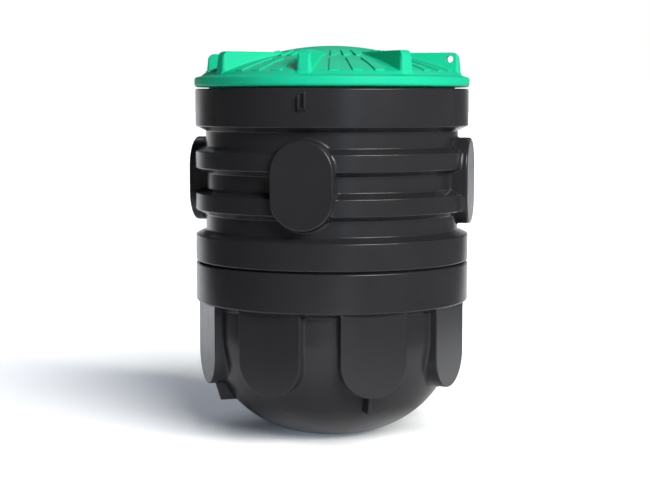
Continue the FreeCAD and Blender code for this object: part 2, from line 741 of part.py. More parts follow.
def rib_block(label, side, low, high, end_r, start_r, rounds):
    """A drafted bar from the crown out to +Y."""
    body = doc.addObject("PartDesign::Body", label)
    sketch = new_sketch(body, "XY_Plane", label + "_outline")
    sketch.setExpression("AttachmentOffset.Base.z", low.text)
    rectangle(side, start_r, end_r)(sketch)
    pad = body.newObject("PartDesign::Pad", label + "_pad")
    pad.Profile = sketch
    pad.setExpression("Length", (high - low).text)
    pad.setExpression("TaperAngle", f"-{S.rib_draft.text}")
    doc.recompute()
    if rounds:
        round_rib(body, pad, high)
    return body


def round_rib(body, pad, high):
    """Rounds the nose across the outer end, then the long edges of the top."""
    names = [[], []]
    for i, edge in enumerate(pad.Shape.Edges, start=1):
        ends = [v.Point for v in edge.Vertexes]
        if all(abs(p.z - high.value) < 0.01 for p in ends):
            across = abs(ends[0].y - ends[1].y) < 0.01
            outer = ends[0].y > (rib_start_r.value + rib_end_r.value) / 2
            if across and outer:
                names[0].append(f"Edge{i}")
    nose = body.newObject("PartDesign::Fillet", body.Name + "_nose")
    nose.Base = (pad, names[0])
    nose.setExpression("Radius", S.rib_nose.text)
    doc.recompute()
    for i, edge in enumerate(nose.Shape.Edges, start=1):
        ends = [v.Point for v in edge.Vertexes]
        top = all(abs(p.z - high.value) < 0.01 for p in ends)
        along = top and abs(ends[0].x - ends[1].x) < 0.01
        if along:
            names[1].append(f"Edge{i}")
    edges = body.newObject("PartDesign::Fillet", body.Name + "_edges")
    edges.Base = (nose, names[1])
    edges.setExpression("Radius", S.rib_edge.text)
    doc.recompute()


# Lid ribs: hollow bars on the dome, one of them with a hole through its outer end.
rib_half = S.rib_w / 2
rib_form = rib_block("rib_form", rib_half, ledge_z, rib_top, rib_end_r, rib_start_r, True)
rib_core = rib_block(
    "rib_core", rib_half - S.rib_wall, rim_low + S.wall, rib_top - S.rib_wall,
    rib_end_r - S.rib_wall * 2, S.crown_edge_r + S.rib_wall, False)
rib_shell = cut("rib_shell", rib_form, rib_core)
rib = cut("rib", rib_shell, lid_form)
hole_z = rib_top - S.hole_drop


def cross_pin(label, radius):
    """A round bar across the first rib, where the hole goes."""
    pin = doc.addObject("Part::Cylinder", label)
    pin.setExpression("Radius", radius.text)
    pin.setExpression("Height", (S.rib_w * 2).text)
    pin.Placement = FreeCAD.Placement(FreeCAD.Vector(), FreeCAD.Rotation(FreeCAD.Vector(0, 1, 0), 90))
    pin.setExpression("Placement.Base.x", f"-{S.rib_w.text}")
    pin.setExpression("Placement.Base.y", hole_at_r.text)
    pin.setExpression("Placement.Base.z", hole_z.text)
    return pin


hole_pin = cross_pin("hole_pin", S.hole_r)
hole_sleeve = common("hole_sleeve", cross_pin("hole_sleeve_bar", S.hole_r + S.rib_wall), rib_form)
rib_sleeved = joined("rib_sleeved", [rib_shell, hole_sleeve])
rib_bored = cut("rib_bored", rib_sleeved, hole_pin)
rib_holed = cut("rib_holed", rib_bored, lid_form)
rib_step = 360.0 / RIB_COUNT
for k in range(RIB_COUNT):
    source = rib_holed if k + 1 == HOLED_RIB else rib
    node(f"lid_rib_{k + 1}", turned_copy(f"lid_rib_{k + 1}", source, 180.0 + k * rib_step))

# Lid crown, and the dome's panels between the ribs, which are open to the ribs' hollows.
rib_slot = rib_block(
    "rib_slot", rib_half - S.rib_wall, rim_low + S.wall, rib_top - S.rib_wall,
    skirt_r, S.crown_edge_r + S.rib_wall, False)
slots = joined("rib_slots", [
    turned_copy(f"rib_slot_{k + 1}", rib_slot, k * rib_step)
    for k in range(RIB_COUNT)
])
dome_open = cut("dome_open", dome_skin, slots)
crown_zone = cylinder("crown_zone", flank_r, rim_low, crown_z + S.wall)
node("lid_crown", common("lid_crown", dome_open, crown_zone))
node("lid_dome", cut("lid_dome", dome_open, crown_zone))

# Tread bars: three between two ribs on the dome, and three short ones beside the crown.
bar_r = S.dome_r + S.tread_t
tread_bar = revolved("tread_bar", [
    at(tread_start_r, rim_low),
    at(tread_end_r, rim_low),
    (tread_end_r, dome_centre_z + leg(bar_r, tread_end_r), tread_end_r, None),
    Arc(bar_r, dome_centre_z, holds=("radius", "centre")),
    (tread_start_r, dome_centre_z + leg(bar_r, tread_start_r), tread_start_r, None),
], S.tread_angle)
step_bar = revolved("step_bar", [
    at(step_start_r, rim_low),
    at(step_end_r, rim_low),
    at(step_end_r, dome_centre_z + leg(S.dome_r, step_end_r) + S.tread_t),
    at(step_start_r, crown_centre_z + leg(S.crown_r, step_start_r) + S.tread_t),
], S.tread_angle)
bars = doc.addObject("Part::Compound", "bars")
bars.Links = [
    turned_copy(f"{bar.Name}_{i + 1}", bar, S.tread_step * (i - 1) + rib_step / 2)
    for bar in (tread_bar, step_bar)
    for i in range(3)
]
bar_set = cut("bar_set", bars, lid_form)
treads = doc.addObject("Part::Compound", "lid_treads")
treads.Links = [turned_copy(f"bar_set_{k + 1}", bar_set, k * rib_step) for k in range(RIB_COUNT)]
node("lid_treads", treads)

# Lid rim, with the plate and the seat under it, and the spigot that locates the lid.
lid_rim = revolved("lid_rim", [
    at(spigot_in_r, rim_low),
    at(spigot_r, rim_low),
    at(spigot_r, riser_top),
    at(seat_r, riser_top),
    at(seat_r, rim_low),
    at(rim_r, rim_low),
    at(rim_r, rim_top),
    at(ledge_r, ledge_z),
    at(dome_edge_r, dome_edge_z),
    at(dome_edge_r, dome_centre_z + leg(dome_in_r, dome_edge_r)),
    at(ledge_r - S.wall, ledge_z - S.wall),
    at(rim_r - S.wall, rim_top - S.wall),
    at(rim_r - S.wall, rim_low + S.wall),
    at(spigot_in_r, rim_low + S.wall),
], ring_step)
rounded(lid_rim, [(rim_r, rim_low), (rim_r, rim_top)], S.edge_r)
ring_nodes("lid_rim", lid_rim)
lid_spigot = revolved("lid_spigot", [
    at(spigot_in_r, riser_top - S.spigot_drop),
    at(spigot_r, riser_top - S.spigot_drop),
    at(spigot_r, rim_low),
    at(spigot_in_r, rim_low),
], ring_step)
ring_nodes("lid_spigot", lid_spigot)

doc.recompute()


def check_model():
    for item in doc.Objects:
        if "Invalid" in item.State or "Error" in item.State:
            raise RuntimeError(f"{item.Label} failed: {item.State}")
    for item in nodes:
        if item.Shape.isNull() or not item.Shape.isValid() or not item.Shape.Solids:
            raise RuntimeError(f"{item.Label} has no valid solid")


check_model()
os.makedirs("parts", exist_ok=True)
for item in nodes:
    item.Shape.exportStep(os.path.join("parts", item.Label + ".step"))
    litres = item.Shape.Volume / 1e6
    print(f"{item.Label}: {len(item.Shape.Solids)} solids, {litres:.3f} l")
print(f"{len(nodes)} nodes")
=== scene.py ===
import bmesh
import bpy
import math
from bisect import bisect_right
from mathutils import Matrix, Vector


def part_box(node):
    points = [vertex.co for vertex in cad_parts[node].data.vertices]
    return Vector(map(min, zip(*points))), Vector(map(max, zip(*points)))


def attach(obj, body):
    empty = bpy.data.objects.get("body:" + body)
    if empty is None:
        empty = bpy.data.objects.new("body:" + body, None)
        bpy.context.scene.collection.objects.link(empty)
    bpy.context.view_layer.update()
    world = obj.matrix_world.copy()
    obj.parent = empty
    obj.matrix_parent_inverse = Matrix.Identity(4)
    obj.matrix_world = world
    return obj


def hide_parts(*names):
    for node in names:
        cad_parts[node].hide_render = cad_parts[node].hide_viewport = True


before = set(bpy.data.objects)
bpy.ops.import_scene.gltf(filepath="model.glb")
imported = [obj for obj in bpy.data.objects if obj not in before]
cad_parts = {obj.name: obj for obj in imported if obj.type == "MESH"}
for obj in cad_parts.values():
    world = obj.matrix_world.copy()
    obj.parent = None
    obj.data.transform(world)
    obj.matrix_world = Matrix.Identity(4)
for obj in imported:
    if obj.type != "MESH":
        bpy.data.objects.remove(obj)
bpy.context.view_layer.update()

# Shapes are worked out in millimetres, with +Z up the axis and angles from -Y towards +X.
UNIT = 0.001

# Fineness of the meshes.
COLUMNS = 240  # faces round a turned skin
ARC_STEP = math.radians(11.0)
BOWL_STEP = math.radians(4.0)
COVE_STEPS = 4
EDGE_STEPS = 5
BASE_PAD_STEPS = 7
LUG_STEPS = 6
DOME_STEPS = 14
RIB_STEPS = 20
NOSE_STEPS = 5
BAR_STEPS = 10
HOLE_STEPS = 64
BEVEL_SEGMENTS = 3
BEVEL_ANGLE = math.radians(30.0)
SHARP_ANGLE = math.radians(42.0)
FLAT_WEIGHT = 100  # pull of large faces on the shading
STRAIGHT_ANGLE = 0.001  # a corner this close to straight isn't rounded
STATION_MARGIN = 0.02  # share of a line at each end that gets no added point
SAME_POINT = 0.01
SAME_VERTEX_M = 0.00001

# Sizes of the moulded skin.
WALL = 10.0
EDGE_R = 7.0  # rounding of the outer edges
INNER_R = 4.0  # rounding of the inner edges
LIP_R = 2.5  # rounding round the openings and the seal
BAND_DEPTH = 41.0  # height of collars and hoops over the plain walls
SLOPE = 18.0  # height of the shoulder beside a band
BORE_INSET = 25.0  # reach of an opening's lip, inwards from the wall's outer side
LAP = 9.0  # width of plain wall that belongs to a collar or pad
BURY = 0.25  # depth of a raised form's lowest edge in the skin below it
FULL_ROUND = 0.9999  # share of a pad's half width that rounds its end
RING_NODES = 2  # nodes that close a collar, rim or spigot

# Sizes of the base and of the seal on it.
BOWL_COUNT = 4
BOWL_BLEND = 428.0
BASE_PAD_COUNT = 8
BASE_PAD_TURN = 29.5
BASE_PAD_HALF_W = 132.5
BASE_PAD_RISE = 14.0
BASE_PAD_LOW = 216.0
BASE_PAD_EDGE = 4.0
BASE_PAD_COVE = 9.0
BASE_PAD_HIDDEN_TOP = 541.0  # under the collar's shoulder
BASE_PAD_PLAIN_LOW = 380.0  # the straight stretch of a pad's sides
BASE_PAD_PLAIN_TOP = 520.0
LUG_COUNT = 4
LUG_T = 14.0
LUG_BEVEL = 2.5
LUG_SET = 31.0
LUG_RAKE = 24.0
LUG_DROP = 71.0
LUG_ROOT = 5.0
SEAL_W = 36.0

# Sizes of the riser.
RISER_WALL_COUNT = 4
NECK_GAP = 64.0
HOOP_FLAT = 66.0
RISER_PAD_COUNT = 4
PAD_EDGE = 8.0
PAD_COVE = 13.0
CLIP_W = 33.0
CLIP_H = 73.0
CLIP_SLOT = 13.0
CLIP_STEP = 12.0
CLIP_TAPER = 10.0
CLIP_CORNER = 4.9
CLIP_EDGE = 4.0
CLIP_COVE = 1.5

# Sizes of the lid.
SEAT_W = 17.0
RIM_H = 37.0
RIM_TOP_R = 10.0
RIM_LOW_R = 13.0
LEDGE_W = 27.0
LEDGE_RISE = 7.0
FLANK_W = 14.0
DOME_RISE = 19.0
DOME_R = 1478.0
CROWN_R = 950.0
CROWN_EDGE_R = 240.0
CROWN_FLANK = 28.0
CROWN_FLANK_R = 30.0
RIB_COUNT = 8
HOLED_RIB = 3
RIB_HALF_W = 32.0
RIB_DRAFT = math.tan(math.radians(6.0))
RIB_RISE = 99.0
RIB_SET = 5.0
RIB_LAP = 25.0
RIB_CORNER = 8.0
RIB_NOSE = 22.0
RIB_EDGE = 6.0
RIB_END_EDGE = 1.5
RIB_COVE = 6.0
HOLE_R = 14.5
HOLE_LIP = 2.0
HOLE_SET = 41.0
HOLE_DROP = 26.0
TREAD_T = 6.0
TREAD_ANGLE = 4.2
TREAD_PITCH = 9.9
TREAD_CORNER = 4.0
TREAD_EDGE = 1.6
TREAD_COVE = 1.2
TREAD_MARGIN = 4.0
TREAD_LEN = 163.0
STEP_OVER = 23.0
STEP_LAP = 18.0


def low(node):
    """The height of a node's underside."""
    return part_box(node)[0].z / UNIT


def top(node):
    """The height of a node's top."""
    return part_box(node)[1].z / UNIT


def side(node):
    """A node's reach along +X."""
    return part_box(node)[1].x / UNIT


def numbered(name, count):
    return [f"{name}_{k + 1}" for k in range(count)]


# Radii and heights that the solids give.
band_r = side("base_collar_1")
base_top = top("base_collar_1")
base_neck = low("base_collar_1") + LAP
seal_out_r = side("joint_seal")
riser_low = top("joint_seal")
spigot_low = low("riser_foot_collar_1")
riser_wall_low = top("riser_foot_collar_1") - LAP
collar_neck = low("riser_collar_1") + LAP
riser_top = top("riser_collar_1")
pad_reach = side("riser_pad_2")
pad_half_w = side("riser_pad_1") - LAP
pad_low = low("riser_pad_1") + LAP
pad_top = top("riser_pad_1") - LAP
clip_low = low("collar_clip")
clip_face = -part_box("collar_clip")[0].y / UNIT
rim_r = side("lid_rim_1")
rim_low = top("lid_spigot_1")
spigot_r = side("lid_spigot_1")
lid_spigot_low = low("lid_spigot_1")
crown_top = top("lid_crown")

# Radii and heights that follow from them.
body_r = band_r - BAND_DEPTH
bore_r = body_r - BORE_INSET
spigot_in_r = spigot_r - WALL
body_in_r = body_r - WALL
band_in_r = band_r - WALL
base_pad_reach = body_r + BASE_PAD_RISE
seal_in_r = seal_out_r - SEAL_W
seat_r = spigot_r + SEAT_W
rim_top = rim_low + RIM_H
ledge_r = rim_r - LEDGE_W
ledge_z = rim_top + LEDGE_RISE
dome_edge_r = ledge_r - FLANK_W
dome_edge_z = rim_top + DOME_RISE
dome_z = dome_edge_z - math.sqrt(DOME_R**2 - dome_edge_r**2)
crown_z = crown_top - CROWN_R
flank_r = CROWN_EDGE_R + CROWN_FLANK
rib_top = rim_top + RIB_RISE
rib_end_r = ledge_r - RIB_SET
slope_length = math.hypot(band_r - body_r, SLOPE)
inner_shift = WALL * (slope_length - SLOPE) / (band_r - body_r)


# Lines and sections.
def rounded(corners):
    """A line through (x, y, radius) corners, each rounded by an arc of its radius."""
    points = []
    for i, (x, y, radius) in enumerate(corners):
        here = Vector((x, y))
        if radius == 0 or i in (0, len(corners) - 1):
            points.append(here)
            continue
        before = (Vector(corners[i - 1][:2]) - here).normalized()
        after = (Vector(corners[i + 1][:2]) - here).normalized()
        half = before.angle(after) / 2
        if half > math.pi / 2 - STRAIGHT_ANGLE:
            points.append(here)
            continue
        reach = radius / math.tan(half)
        centre = here + (before + after).normalized() * (radius / math.sin(half))
        first = here + before * reach - centre
        last = here + after * reach - centre
        sweep = first.angle_signed(last)
        count = max(2, math.ceil(abs(sweep) / ARC_STEP))
        for k in range(count + 1):
            turn = Matrix.Rotation(-sweep * k / count, 2)
            points.append(centre + turn @ first)
    kept = [points[0]]
    for point in points[1:]:
        if (point - kept[-1]).length > SAME_POINT:
            kept.append(point)
    return kept


def steps(begin, end, count):
    """Evenly spaced values from one to another, with both ends."""
    return [begin + (end - begin) * k / count for k in range(count + 1)]


def arc(centre, radius, begin, end, step):
    """Points round a centre between two angles, which are measured from +x."""
    count = max(2, math.ceil(abs(end - begin) / step))
    return [
        Vector((centre[0] + radius * math.cos(angle), centre[1] + radius * math.sin(angle)))
        for angle in steps(begin, end, count)]


def with_stations(path, heights):
    """The same line with a point added wherever it crosses one of the heights."""
    out = [path[0]]
    for begin, end in zip(path, path[1:]):
        rise = end.y - begin.y
        if abs(rise) > SAME_POINT:
            shares = sorted((h - begin.y) / rise for h in heights)
            out += [begin.lerp(end, t) for t in shares if STATION_MARGIN < t < 1 - STATION_MARGIN]
        out.append(end)
    return out


class Line:
    """Looks up y from x along a line whose x only grows."""

    def __init__(self, points):
        self.xs = [p[0] for p in points]
        self.ys = [p[1] for p in points]

    def __call__(self, x):
        i = min(max(bisect_right(self.xs, x), 1), len(self.xs) - 1)
        x0, x1 = self.xs[i - 1], self.xs[i]
        y0, y1 = self.ys[i - 1], self.ys[i]
        return y0 + (y1 - y0) * (x - x0) / (x1 - x0)


# Places and surfaces.
def turned(x, y, z, degrees):
    """A point turned about the axis."""
    angle = math.radians(degrees)
    c, s = math.cos(angle), math.sin(angle)
    return Vector((x * c - y * s, x * s + y * c, z))


def upright(degrees, middle=0.0):
    """Places (across, height, distance from the axis) on the side that faces an angle."""
    return lambda a, b, h: turned(a + middle, -h, b, degrees)


def edgewise(degrees):
    """Places (distance from the axis, height, across) on the side that faces an angle."""
    return lambda a, b, h: turned(h, -a, b, degrees)


def radial(degrees):
    """Places (across, distance from the axis, height) on top of the lid."""
    return lambda a, b, h: turned(-a, -b, h, degrees)


def round_wall(radius_at, middle=0.0):
    """How far out a round wall stands at (across, height), from its radius at a height."""
    return lambda a, b: math.sqrt(radius_at(b) ** 2 - (a + middle) ** 2)


def constant(value):
    """The same value at every place."""
    return lambda *place: value


# Meshes and pieces.
def put(name, data):
    """Adds an object to the scene."""
    thing = bpy.data.objects.new(name, data)
    bpy.context.collection.objects.link(thing)
    return thing


def closed_mesh(name, points, faces):
    """A mesh from points in millimetres, with doubled points merged and all faces outwards."""
    mesh = bpy.data.meshes.new(name)
    mesh.from_pydata([Vector(p) * UNIT for p in points], [], faces)
    work = bmesh.new()
    work.from_mesh(mesh)
    bmesh.ops.remove_doubles(work, verts=work.verts, dist=SAME_VERTEX_M)
    bmesh.ops.recalc_face_normals(work, faces=work.faces)
    work.to_mesh(mesh)
    work.free()
    return mesh


def smooth(thing):
    """Shades a mesh smooth, except over sharp edges, with flat faces kept flat."""
    thing.data.shade_smooth()
    thing.data.set_sharp_from_angle(angle=SHARP_ANGLE)
    weighted = thing.modifiers.new("flat_faces", "WEIGHTED_NORMAL")
    weighted.keep_sharp = True
    weighted.weight = FLAT_WEIGHT


def piece(name, parts, material, body, nodes):
    """Makes one object of (points, faces) parts, shades it and ties it to the frame."""
    points, faces = [], []
    for part_points, part_faces in parts:
        start = len(points)
        points += part_points
        faces += [[start + i for i in face] for face in part_faces]
    thing = put(name, closed_mesh(name, points, faces))
    smooth(thing)
    thing.data.materials.append(material)
    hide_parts(*nodes)
    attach(thing, body)
    return thing


def ring(path, phase=0.0):
    """A closed section turned about the axis."""
    points, faces = [], []
    count = len(path)
    for j in range(COLUMNS):
        for p in path:
            points.append(turned(0, -p.x, p.y, phase + 360.0 * j / COLUMNS))
    for j in range(COLUMNS):
        k = (j + 1) % COLUMNS
        for i in range(count):
            n = (i + 1) % count
            faces.append([j * count + i, k * count + i, k * count + n, j * count + n])
    return points, faces


def boss(half, floor, face, edge, cove, place, draft=0.0, drawn_at=0.0):
    """A raised form over a floor, from the right half of its outline, bottom to top.

    Its foot blends into the floor by the cove's width, its sides rise to edges of their own rounding,
    and its face follows a height. The functions floor, face and edge take a place on the outline.
    With draft, the sides lean inwards, and the outline is the one at the height drawn_at.
    """
    outline = list(half) + [Vector((-p.x, p.y)) for p in reversed(half[1:-1])]
    count = len(outline)
    normals = []
    for i in range(count):
        along = outline[(i + 1) % count] - outline[i - 1]
        normals.append(Vector((along.y, -along.x)).normalized())

    def foot_point(p, n, u):
        """A point of the foot's blend, which starts out on the floor at u = 1."""
        ground = floor(p.x, p.y)
        shift = draft * (drawn_at - ground)
        spread = p + n * (cove + shift)
        start = floor(spread.x, spread.y)
        end = min(ground + cove, face(p.x, p.y) - edge(p.x, p.y))
        q = p + n * (u * u * cove + shift - draft * (1 - u) ** 2 * max(end - ground, 0))
        height = u * u * start + 2 * u * (1 - u) * ground + (1 - u) ** 2 * end
        return q.x, q.y, height - (BURY if u == 1 else 0)

    def edge_point(p, n, turn):
        """A point of the rounding between the side and the face."""
        radius = edge(p.x, p.y)
        height = face(p.x, p.y) - radius * (1 - math.sin(turn))
        q = p + n * (draft * (drawn_at - height) - radius * (1 - math.cos(turn)))
        return q.x, q.y, height

    rings = [
        [foot_point(p, n, u) for p, n in zip(outline, normals)] for u in steps(1.0, 0.0, COVE_STEPS)]
    rings += [
        [edge_point(p, n, turn) for p, n in zip(outline, normals)]
        for turn in steps(0.0, math.pi / 2, EDGE_STEPS)]
    points = [place(*p) for row in rings for p in row]
    faces = []
    last_ring = count * (len(rings) - 1)
    for start in range(0, last_ring, count):
        for i in range(count):
            n = (i + 1) % count
            faces.append([start + i, start + n, start + count + n, start + count + i])
    for start, flip in ((last_ring, False), (0, True)):
        for i in range(len(half) - 1):
            j = count - i
            corners = [start + i, start + i + 1, start + (j - 1) % count, start + j % count]
            corners = list(dict.fromkeys(corners))
            faces.append(corners[::-1] if flip else corners)
    return points, faces


def plate(outline, thickness, place):
    """A flat plate with an outline and a thickness."""
    count = len(outline)
    points = [place(p.x, p.y, h) for h in (-thickness / 2, thickness / 2) for p in outline]
    faces = [list(range(count))[::-1], list(range(count, 2 * count))]
    for i in range(count):
        n = (i + 1) % count
        faces.append([i, n, count + n, count + i])
    return points, faces


def bevelled(thing, width):
    """Rounds the edges of a plate, before its shading."""
    bevel = thing.modifiers.new("edges", "BEVEL")
    bevel.width = width * UNIT
    bevel.segments = BEVEL_SEGMENTS
    bevel.limit_method = "ANGLE"
    bevel.angle_limit = BEVEL_ANGLE
    thing.modifiers.move(len(thing.modifiers) - 1, 0)


# Nodes of the materials.
def feed(tree, value, socket):
    """Sets a socket to a value, or links another socket to it."""
    if isinstance(value, bpy.types.NodeSocket):
        tree.links.new(value, socket)
    else:
        socket.default_value = value


def map_range(tree, source, begin, end):
    """Maps one range of a value to another, and stays inside it."""
    node = tree.nodes.new("ShaderNodeMapRange")
    feed(tree, source, node.inputs["Value"])
    for name, value in zip(("From Min", "From Max", "To Min", "To Max"), (*begin, *end)):
        feed(tree, value, node.inputs[name])
    return node.outputs["Result"]


def between(tree, share, begin, end):
    """The value at a share of the way from one to another."""
    return map_range(tree, share, (0.0, 1.0), (begin, end))


def maths(tree, operation, *sources):
    """One sum on numbers or sockets."""
    node = tree.nodes.new("ShaderNodeMath")
    node.operation = operation
    for i, source in enumerate(sources):
        feed(tree, source, node.inputs[i])
    return node.outputs["Value"]


def dot(tree, source, direction):
    """The part of a vector along a fixed direction."""
    node = tree.nodes.new("ShaderNodeVectorMath")
    node.operation = "DOT_PRODUCT"
    feed(tree, source, node.inputs[0])
    feed(tree, direction, node.inputs[1])
    return node.outputs["Value"]


def colour_ramp(tree, source, begin, end):
    """Blends between two (position, colour) stops."""
    node = tree.nodes.new("ShaderNodeValToRGB")
    for stop, (position, colour) in zip(node.color_ramp.elements, (begin, end)):
        stop.position = position
        stop.color = (*colour, 1)
    feed(tree, source, node.inputs["Fac"])
    return node.outputs["Color"]


def noise(tree, coordinates, scale, detail):
    """A soft random pattern, from 0 to 1."""
    node = tree.nodes.new("ShaderNodeTexNoise")
    feed(tree, coordinates, node.inputs["Vector"])
    feed(tree, scale, node.inputs["Scale"])
    feed(tree, detail, node.inputs["Detail"])
    return node.outputs["Fac"]


# Materials.
NOISE_LOW = 0.3
NOISE_HIGH = 0.7
CLOUD_SCALE = 3.0
CLOUD_DETAIL = 4.0
HAZE_SCALE = 14.0
HAZE_DETAIL = 5.0
SKIN_SCALE = 260.0
SKIN_DETAIL = 2.0
SKIN_DEPTH_M = 0.0004


def moulded_plastic(name, dark, light, rough, uneven, peel, shine):
    """Satin moulded plastic: cloudy colour, uneven gloss and a fine orange-peel skin."""
    material = bpy.data.materials.new(name)
    material.use_nodes = True
    tree = material.node_tree
    shader = tree.nodes["Principled BSDF"]
    shader.inputs["Specular IOR Level"].default_value = shine
    coordinates = tree.nodes.new("ShaderNodeTexCoord").outputs["Object"]
    clouds = noise(tree, coordinates, CLOUD_SCALE, CLOUD_DETAIL)
    colour = colour_ramp(tree, clouds, (NOISE_LOW, dark), (NOISE_HIGH, light))
    feed(tree, colour, shader.inputs["Base Color"])
    haze = noise(tree, coordinates, HAZE_SCALE, HAZE_DETAIL)
    gloss = map_range(tree, haze, (NOISE_LOW, NOISE_HIGH), (rough - uneven, rough + uneven))
    feed(tree, gloss, shader.inputs["Roughness"])
    bump = tree.nodes.new("ShaderNodeBump")
    bump.inputs["Strength"].default_value = peel
    bump.inputs["Distance"].default_value = SKIN_DEPTH_M
    feed(tree, noise(tree, coordinates, SKIN_SCALE, SKIN_DETAIL), bump.inputs["Height"])
    feed(tree, bump.outputs["Normal"], shader.inputs["Normal"])
    return material


black = moulded_plastic(
    "black_plastic", dark=(0.02, 0.02, 0.023), light=(0.025, 0.025, 0.0285),
    rough=0.25, uneven=0.02, peel=0.06, shine=0.28)
green = moulded_plastic(
    "green_plastic", dark=(0.008, 0.55, 0.31), light=(0.01, 0.61, 0.345),
    rough=0.5, uneven=0.04, peel=0.12, shine=0.13)
rubber = moulded_plastic(
    "seal_rubber", dark=(0.008, 0.008, 0.008), light=(0.012, 0.012, 0.012),
    rough=0.75, uneven=0.05, peel=0.4, shine=0.2)


# Base: the bowl, wall and collar as one turned skin.
def collar_path(neck, high):
    """A collar's section from the wall's outer side up and back down to its inner side."""
    return [
        (body_r, neck, EDGE_R), (band_r, neck + SLOPE, EDGE_R), (band_r, high, EDGE_R),
        (bore_r, high, LIP_R), (bore_r, high - WALL, LIP_R), (band_in_r, high - WALL, INNER_R),
        (band_in_r, neck + SLOPE + inner_shift, INNER_R), (body_in_r, neck + inner_shift, INNER_R),
    ]


bowl_centre = (body_r - BOWL_BLEND, BOWL_BLEND)
bowl_outside = arc(bowl_centre, BOWL_BLEND, -math.pi / 2, 0.0, BOWL_STEP)
bowl_inside = arc(bowl_centre, BOWL_BLEND - WALL, -math.pi / 2, 0.0, BOWL_STEP)
wall_start = bowl_outside[-1]
base_path = [Vector((0, 0))] + bowl_outside[:-1]
base_path += rounded(
    [(*wall_start, 0)] + collar_path(base_neck, base_top) + [(body_in_r, wall_start.y, 0)])
base_path += bowl_inside[-2::-1]
base_path.append(Vector((0, WALL)))
base_nodes = numbered("base_collar", RING_NODES) + ["base_wall", "base_foot"]
base_nodes += numbered("base_bowl", BOWL_COUNT)
piece("base_shell", [ring(base_path, BASE_PAD_TURN)], black, "chamber", base_nodes)

# Base pads: flat tongues that run up under the collar.
base_radius = Line([(p.y, p.x) for p in bowl_outside] + [(base_top, body_r)])
base_pad_half = rounded([
    (0, BASE_PAD_LOW, 0),
    (BASE_PAD_HALF_W, BASE_PAD_LOW, BASE_PAD_HALF_W * FULL_ROUND),
    (BASE_PAD_HALF_W, BASE_PAD_HIDDEN_TOP, 0),
    (0, BASE_PAD_HIDDEN_TOP, 0),
])
base_pad_half = with_stations(
    base_pad_half, steps(BASE_PAD_PLAIN_LOW, BASE_PAD_PLAIN_TOP, BASE_PAD_STEPS))
for k, node in enumerate(numbered("base_pad", BASE_PAD_COUNT)):
    place = upright(BASE_PAD_TURN + 360.0 / BASE_PAD_COUNT * k)
    tongue = boss(
        base_pad_half, round_wall(base_radius), constant(base_pad_reach), constant(BASE_PAD_EDGE),
        BASE_PAD_COVE, place)
    piece(node, [tongue], black, "chamber", [node])

# Anchor lugs: plates under every second pad.
lug_top_r = base_pad_reach - LUG_SET
lug_low = BASE_PAD_LOW - LUG_DROP
lug_top = BASE_PAD_LOW + BASE_PAD_EDGE
lug_outline = [Vector((lug_top_r - LUG_RAKE, lug_low)), Vector((lug_top_r, lug_top))]
lug_outline += [Vector((base_radius(z) - LUG_ROOT, z)) for z in steps(lug_top, lug_low, LUG_STEPS)]
lug_parts = []
for k in range(LUG_COUNT):
    lug_parts.append(plate(lug_outline, LUG_T, edgewise(BASE_PAD_TURN + 360.0 / LUG_COUNT * k)))
lugs = piece("anchor_lugs", lug_parts, black, "chamber", ["anchor_lugs"])
bevelled(lugs, LUG_BEVEL)

# Seal between base and riser.
seal_path = rounded([
    (seal_in_r, base_top, 0), (seal_out_r, base_top, LIP_R),
    (seal_out_r, riser_low, LIP_R), (seal_in_r, riser_low, 0),
])
piece("joint_seal", [ring(seal_path)], rubber, "chamber", ["joint_seal"])


# Riser: collars, wall and hoops as one turned skin.
def hoop_path(plain_r, hoop_r, shift, radius):
    """The two hoops' section on one side of the skin, from the lower one up."""
    corners = []
    first = riser_wall_low + NECK_GAP
    for start in (first, first + NECK_GAP + 2 * SLOPE + HOOP_FLAT):
        corners += [
            (plain_r, start + shift, radius),
            (hoop_r, start + SLOPE + shift, radius),
            (hoop_r, start + SLOPE + HOOP_FLAT - shift, radius),
            (plain_r, start + 2 * SLOPE + HOOP_FLAT - shift, radius),
        ]
    return corners


riser_outer = [
    (spigot_r, spigot_low, 0), (spigot_r, riser_low, LIP_R), (band_r, riser_low, EDGE_R),
    (band_r, riser_wall_low - SLOPE, EDGE_R), (body_r, riser_wall_low, EDGE_R),
] + hoop_path(body_r, band_r, 0.0, EDGE_R)
riser_inner = hoop_path(body_in_r, band_in_r, inner_shift, INNER_R)[::-1] + [
    (body_in_r, riser_wall_low - inner_shift, INNER_R),
    (band_in_r, riser_wall_low - SLOPE - inner_shift, INNER_R),
    (band_in_r, riser_low + WALL, INNER_R), (spigot_in_r, riser_low + WALL, INNER_R),
    (spigot_in_r, spigot_low, 0),
]
riser_path = rounded(riser_outer + collar_path(collar_neck, riser_top) + riser_inner)
riser_nodes = numbered("riser_foot_collar", RING_NODES) + numbered("riser_collar", RING_NODES)
riser_nodes += numbered("riser_wall", RISER_WALL_COUNT)
piece("riser_shell", [ring(riser_path)], black, "chamber", riser_nodes)

# Riser pads: tall flat pads across both hoops.
riser_outside = rounded(riser_outer + [(body_r, collar_neck, 0)])
wall_points = [p for p in riser_outside if p.y > riser_wall_low]
riser_radius = Line([(p.y, p.x) for p in wall_points])
pad_round = pad_half_w * FULL_ROUND
riser_pad_half = rounded([
    (0, pad_low, 0), (pad_half_w, pad_low, pad_round), (pad_half_w, pad_top, pad_round), (0, pad_top, 0),
])
riser_pad_half = with_stations(riser_pad_half, [p.y for p in wall_points])
for k, node in enumerate(numbered("riser_pad", RISER_PAD_COUNT)):
    place = upright(360.0 / RISER_PAD_COUNT * k)
    pad = boss(
        riser_pad_half, round_wall(riser_radius), constant(pad_reach), constant(PAD_EDGE), PAD_COVE, place)
    piece(node, [pad], black, "chamber", [node])

